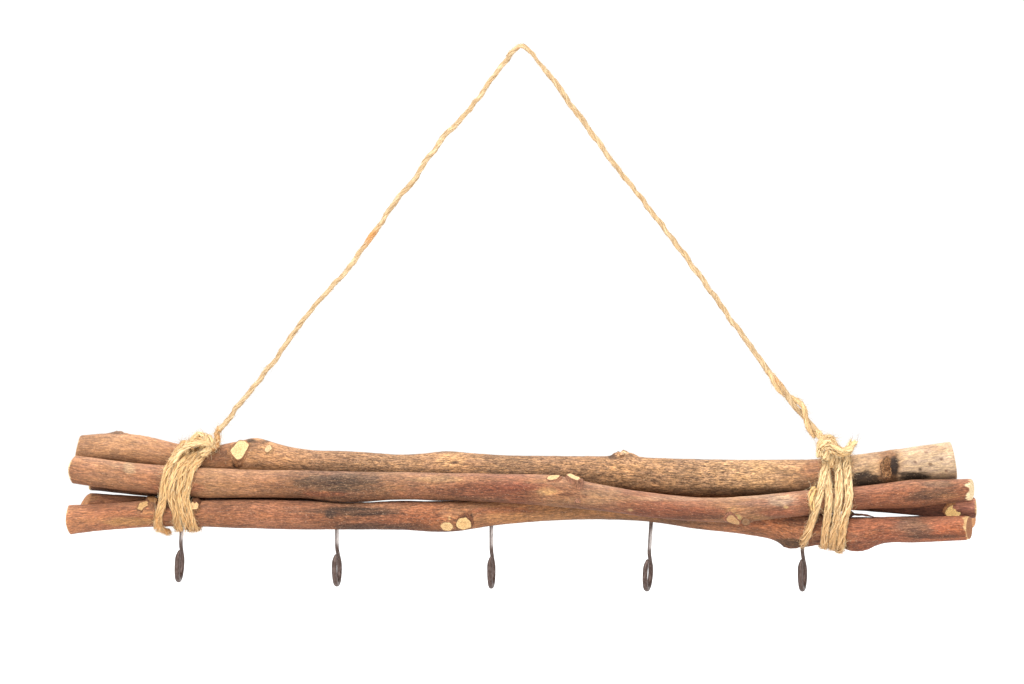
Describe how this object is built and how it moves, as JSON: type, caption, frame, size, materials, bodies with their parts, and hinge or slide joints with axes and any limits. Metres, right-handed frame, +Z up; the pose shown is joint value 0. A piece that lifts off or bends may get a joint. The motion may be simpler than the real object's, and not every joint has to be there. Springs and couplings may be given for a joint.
{
  "type": "branch hook rack",
  "caption": "Rustic hanging rack of bark-covered branches bound with jute twine, hung from a jute cord, with dark wire screw hooks along its underside.",
  "frame": {"origin": "the hanging point: the underside of the cord's loop at its top, where a nail or pin would carry it", "axes": "+X along the branches to the viewer's right, +Y away from the viewer, into the wall, +Z up"},
  "size_m": [0.5019, 0.0481, 0.302],
  "materials": {
    "bark_tan": "matte fine-grained bark, tan to grey-brown, with pale cut wood",
    "bark_red": "matte fine-grained bark, reddish brown with dark patches, with pale cut wood",
    "bark_dark": "matte fine-grained bark, dark brown, with pale cut wood",
    "jute": "matte twisted natural fibre, golden tan with loose hairs",
    "hook_metal": "dark bronzed wire, satin"
  },
  "bodies": {
    "root": {"stick_top": "bark_tan", "stick_middle": "bark_red", "stick_bottom": "bark_red", "stick_rear_upper": "bark_dark", "stick_rear_lower": "bark_dark", "twine_binding_left": "jute", "twine_binding_right": "jute", "hanging_cord": "jute", "screw_hook_1": "hook_metal", "screw_hook_2": "hook_metal", "screw_hook_3": "hook_metal", "screw_hook_4": "hook_metal", "screw_hook_5": "hook_metal"}
  },
  "joints": []
}
